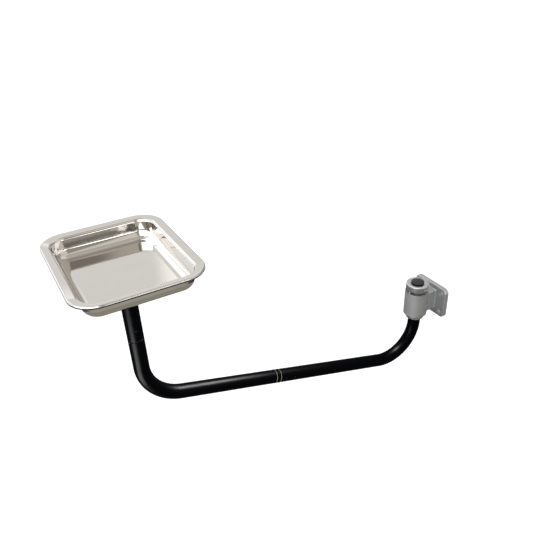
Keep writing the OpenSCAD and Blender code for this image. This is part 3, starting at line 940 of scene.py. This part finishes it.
def rough_casting():
    """Plate, neck and boss grown together, with the soft edges and blends of a casting."""
    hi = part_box("mount_bracket")[1]
    loop = rounded_loop(hi.y, hi.z, plate_corner_r, corner_steps=12, side_steps=8)
    plate = prism([p for p, _ in loop], -plate_t, spare, lambda p, x: Vector((x, p.x, p.y)))
    obj = make_mesh("mount_bracket_visual", plate, sharp=SHARP)
    neck = box_shape((pivot_x, -neck_half, boss_low + neck_inset),
                     (-plate_t / 2, neck_half, boss_top - neck_inset))
    boss = cylinder(ON_PIVOT, boss_r, boss_low - spare, boss_top + spare)
    cut_with(obj, [make_mesh("neck", neck, sharp=SHARP), boss], operation="UNION")
    remesh = obj.modifiers.new("cast", "REMESH")
    remesh.mode = "VOXEL"
    remesh.voxel_size = 0.9 * MM
    smooth = obj.modifiers.new("soft", "SMOOTH")
    smooth.factor = 0.5
    smooth.iterations = 14
    bake(obj, 60)
    return obj


def mount_bracket():
    """The casting, machined: mounting face, ends of the boss, bore, bolt holes and slot."""
    obj = rough_casting()
    far = 200 * MM                                      # past the whole bracket
    faced = pivot_x + boss_r + CLEAR                    # the boss's ends are faced this far
    blocks = (((0, -far, -far), (far, far, far)),
              ((-far, -far, boss_top), (faced, far, far)),
              ((-far, -far, -far), (faced, far, boss_low)))
    cutters = [make_mesh("block", box_shape(*block), sharp=SHARP) for block in blocks]
    cutters.append(cylinder(ON_PIVOT, bore_r, boss_low - spare, boss_top + spare))
    for y in (-bolt_span_y / 2, bolt_span_y / 2):
        for z in (-bolt_span_z / 2, bolt_span_z / 2):
            at = shift(0, y, z) @ ALONG_X
            cutters.append(cylinder(at, bolt_hole_r, -plate_t - CLEAR, CLEAR))
            cutters.append(cylinder(at, bolt_face_r, -plate_t - bolt_face_room,
                                    -plate_t + bolt_face_deep))
    cutters.append(stop_slot())
    cut_with(obj, cutters, sharp=35)
    finish_piece(obj, "bracket", "cast_alloy", ["mount_bracket"])


def stop_slot():
    """Cutter for the arc slot in the top of the boss that the stop pin runs in."""
    lo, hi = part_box("stop_pin")
    orbit = pivot_x - (lo.x + hi.x) / 2
    r = (hi.x - lo.x) / 2 + 2 * run_gap
    limit = math.radians(joints["arm_swing"]["range_deg"][1])
    arc_steps, end_steps = 64, 12

    def polar(angle, length):
        return Vector((math.cos(angle), math.sin(angle))) * length

    loop = []
    for side in (1, -1):            # out along the far side, round the end, back, round again
        for k in range(arc_steps + 1):
            a = math.pi + side * limit * (2 * k / arc_steps - 1)
            loop.append(polar(a, orbit + side * r))
        end = math.pi + side * limit
        start = end if side > 0 else end + math.pi
        for k in range(1, end_steps):
            loop.append(polar(end, orbit) + polar(start + math.pi * k / end_steps, r))
    slot = prism(loop, boss_top - slot_deep, boss_top + slot_over,
                 lambda p, z: Vector((pivot_x + p.x, p.y, z)))
    return make_mesh("slot", slot, sharp=SHARP)


# ---- Build ----

slots = {s["node"]: s["material_slot"] for s in frame["record"]["subparts"]}
for node, obj in frame["nodes"].items():
    obj.data.materials.clear()
    obj.data.materials.append(MATERIALS[slots[node]])

outer_arm()
inner_arm()
leg_joint_parts()
swivel_parts()
hub_weld()
pivot_collars()
pivot_washers()
pivot_bushes()
pivot_cap()
tray()
seat_sheet("seat_plate", "black_coat", plate_edge)
seat_sheet("seat_pad", "rubber", pad_edge)
stud_fittings()
mount_bracket()

# ---- Floor, light and camera ----

FLOOR_SIZE = 80.0
FLOOR_DROP = 0.85                   # from the arm's outer corner down to the floor
SENSOR, LENS = 36, 37.57            # mm
CAMERA_PLACE = Vector((-0.1703, -0.7828, 0.6864))       # from the arm's outer corner
CAMERA_TURN = math.radians(29.45)   # to the right of +Y
CAMERA_PITCH = math.radians(31.11)  # downwards
CAMERA_ROLL = math.radians(2.06)
# each lamp: offset from the spot that it lights, its sides, and its power in watts
KEY = ((-0.9, -0.5, 1.4), (1.0, 1.0), 14)
FILL = ((1.4, -1.2, 1.0), (1.2, 1.2), 8)
LEG_LAMP = ((0.385, -0.035, 0.445), (0.3, 0.2), 110)
RISER_LAMP = ((-0.26, -0.18, -0.246), (0.28, 0.28), 22)
LEG_SPOT = 75 * MM                  # spots on the leg and the riser, from the outer corner
RISER_SPOT = 60 * MM


def studio_floor():
    """Pale floor, which shows from above only."""
    bpy.ops.mesh.primitive_plane_add(size=FLOOR_SIZE,
                                     location=(corner.x, 0, corner.z - FLOOR_DROP))
    floor = bpy.context.object
    floor.name = "studio_floor"
    material, n, where = start_material("floor")
    grain = n.noise(where, 30 * MM, 3)
    colour = n.blend(grain, rgb(0.88, 0.88, 0.88), rgb(0.90, 0.90, 0.90))
    pale = n.add("ShaderNodeBsdfPrincipled", {
        "Base Color": colour, "Roughness": 0.9, "Emission Color": rgb(1, 1, 1),
        "Emission Strength": 0.25})
    clear = n.add("ShaderNodeBsdfTransparent")
    below = n.add("ShaderNodeNewGeometry").outputs["Backfacing"]
    one_way = n.add("ShaderNodeMixShader", {0: below, 1: pale.outputs[0], 2: clear.outputs[0]})
    n.add("ShaderNodeOutputMaterial", {"Surface": one_way.outputs[0]})
    floor.data.materials.append(material)
    floor.visible_glossy = False


def area_light(name, aim, offset, size, power):
    """Rectangular lamp at an offset from the point that it aims at."""
    data = bpy.data.lights.new(name, "AREA")
    data.shape = "RECTANGLE"
    data.size, data.size_y = size
    data.energy = power
    light = bpy.data.objects.new(name, data)
    light.location = aim + Vector(offset)
    light.rotation_mode = "QUATERNION"
    light.rotation_quaternion = (aim - light.location).to_track_quat("-Z", "Y")
    light.visible_camera = False
    bpy.context.scene.collection.objects.link(light)
    return light


def studio_lights():
    """Key and fill that mirrors don't show, and two lamps whose shine falls on tubes only."""
    tray_centre = Vector((corner.x, 0, tray_hi.z))
    for light in (area_light("key", tray_centre, *KEY), area_light("fill", tray_centre, *FILL)):
        light.visible_glossy = False
    lit = bpy.data.collections.new("tubes_lit")
    for node in ("outer_arm_tube", "inner_arm_tube", "tray_hub", "joint_collar"):
        lit.objects.link(bpy.data.objects[node + "_visual"])
    on_riser = corner + Vector((0, 0, RISER_SPOT))
    for light in (area_light("leg_light", corner + leg_dir * LEG_SPOT, *LEG_LAMP),
                  area_light("riser_light", on_riser, *RISER_LAMP)):
        light.visible_diffuse = False
        light.light_linking.receiver_collection = lit


# What the polished parts reflect, as soft-edged panels over a plain pale studio. Each is
# (azimuth from +Y towards +X, elevation, half width, half height, softness, level, tint), with
# angles in degrees; later panels lie over earlier ones.
WHITE = (1.0, 0.99, 0.97)
WARM = (1.0, 0.97, 0.91)
TAN = (1.03, 0.99, 0.90)
OLIVE = (1.0, 0.96, 0.80)
COOL = (0.97, 1.0, 1.02)
PANELS = [
    (0, 90, 180, 22, 8, 0.62, TAN),                 # ceiling
    (138, 40, 42, 24, 8, 0.88, TAN),                # room behind the camera, right
    (176.5, 42, 9.5, 24, 1.5, 0.40, TAN),           # room behind the camera, middle
    (-119, 32, 45, 34, 2, 3.30, COOL),              # wide soft box on the left
    (-48, 22, 28, 32, 7, 1.40, COOL),               # its return towards the backdrop
    (-19, 29, 13, 12, 4, 1.75, COOL),               # bright patch on the backdrop
    (19.2, 29, 2.8, 4, 1, 1.45, WHITE),             # small patch to the right of it
    (75, 14, 34, 22, 8, 0.48, WARM),                # dark flag on the pivot side
    (98, -2, 26, 9, 5, 0.24, WARM),                 # its darker foot
    (30, 4, 8, 13, 4, 0.45, WHITE),                 # grey strip on the backdrop
    (140, 16, 8, 7, 3, 1.20, WARM),                 # small soft box behind, right
    (170, -14, 60, 15, 5, 0.50, WARM),              # low part of the room
    (176, 15, 17, 4, 2, 0.24, WARM),                # dark strip behind the camera
    (162, 7, 10.5, 5, 1.2, 4.00, WHITE),            # strip light beside the camera
    (0, -18, 80, 12, 6, 0.60, WHITE),               # sweep below the backdrop
    (0, -35, 180, 7, 3, 0.05, WHITE),               # dark band all round
    (0, -68, 180, 26, 4, 0.36, OLIVE),              # warm floor
]


def studio_world():
    """White for the diffuse light; the panels for reflections only."""
    world = bpy.data.worlds.new("studio")
    world.use_nodes = True
    bpy.context.scene.world = world
    n = Nodes(world.node_tree)
    way = n.add("ShaderNodeTexCoord").outputs["Generated"]
    x, y, z = n.add("ShaderNodeSeparateXYZ", {0: way}).outputs
    elevation = n.math("DEGREES", n.math("ARCSINE", z))

    def edge(value, half, soft):
        return n.remap(n.math("ABSOLUTE", value), half - soft, half + soft, 1, 0, smooth=True)

    colour = rgb(*WHITE)
    for azimuth, height, half_w, half_h, soft, level, tint in PANELS:
        ca, sa = math.cos(math.radians(azimuth)), math.sin(math.radians(azimuth))
        mask = edge(n.math("SUBTRACT", elevation, height), half_h, soft)
        if half_w < 180:                            # 180 goes all the way round
            across = n.math("SUBTRACT", n.math("MULTIPLY", x, ca), n.math("MULTIPLY", y, sa))
            ahead = n.math("ADD", n.math("MULTIPLY", x, sa), n.math("MULTIPLY", y, ca))
            turn = n.math("DEGREES", n.math("ARCTAN2", across, ahead))
            mask = n.math("MULTIPLY", mask, edge(turn, half_w, soft))
        colour = n.blend(mask, colour, rgb(*[level * c for c in tint]))
    shine = n.add("ShaderNodeBackground", {"Color": colour, "Strength": 1.0})
    plain = n.add("ShaderNodeBackground", {"Color": rgb(1, 1, 1), "Strength": 1.0})
    path = n.add("ShaderNodeLightPath")
    mix = n.add("ShaderNodeMixShader", {0: path.outputs["Is Glossy Ray"], 1: plain.outputs[0],
                                        2: shine.outputs[0]})
    out = n.add("ShaderNodeOutputWorld")
    n.put(out.inputs["Surface"], mix.outputs[0])


def studio_camera():
    """The camera stands in front of the tray end of the arm and looks down at it."""
    ahead = Vector((math.sin(CAMERA_TURN) * math.cos(CAMERA_PITCH),
                    math.cos(CAMERA_TURN) * math.cos(CAMERA_PITCH), -math.sin(CAMERA_PITCH)))
    level = Vector((math.cos(CAMERA_TURN), -math.sin(CAMERA_TURN), 0))
    down = ahead.cross(level)
    right = level * math.cos(CAMERA_ROLL) + down * math.sin(CAMERA_ROLL)
    down = down * math.cos(CAMERA_ROLL) - level * math.sin(CAMERA_ROLL)
    data = bpy.data.cameras.new("camera")
    data.sensor_width, data.lens = SENSOR, LENS
    data.clip_start, data.clip_end = 0.01, 200
    camera = bpy.data.objects.new("camera", data)
    camera.rotation_mode = "QUATERNION"
    camera.rotation_quaternion = Matrix((right, -down, -ahead)).transposed().to_quaternion()
    camera.location = corner + CAMERA_PLACE
    bpy.context.scene.collection.objects.link(camera)
    bpy.context.scene.camera = camera


studio_floor()
studio_world()
studio_camera()
studio_lights()
bpy.context.scene.view_settings.view_transform = "Standard"
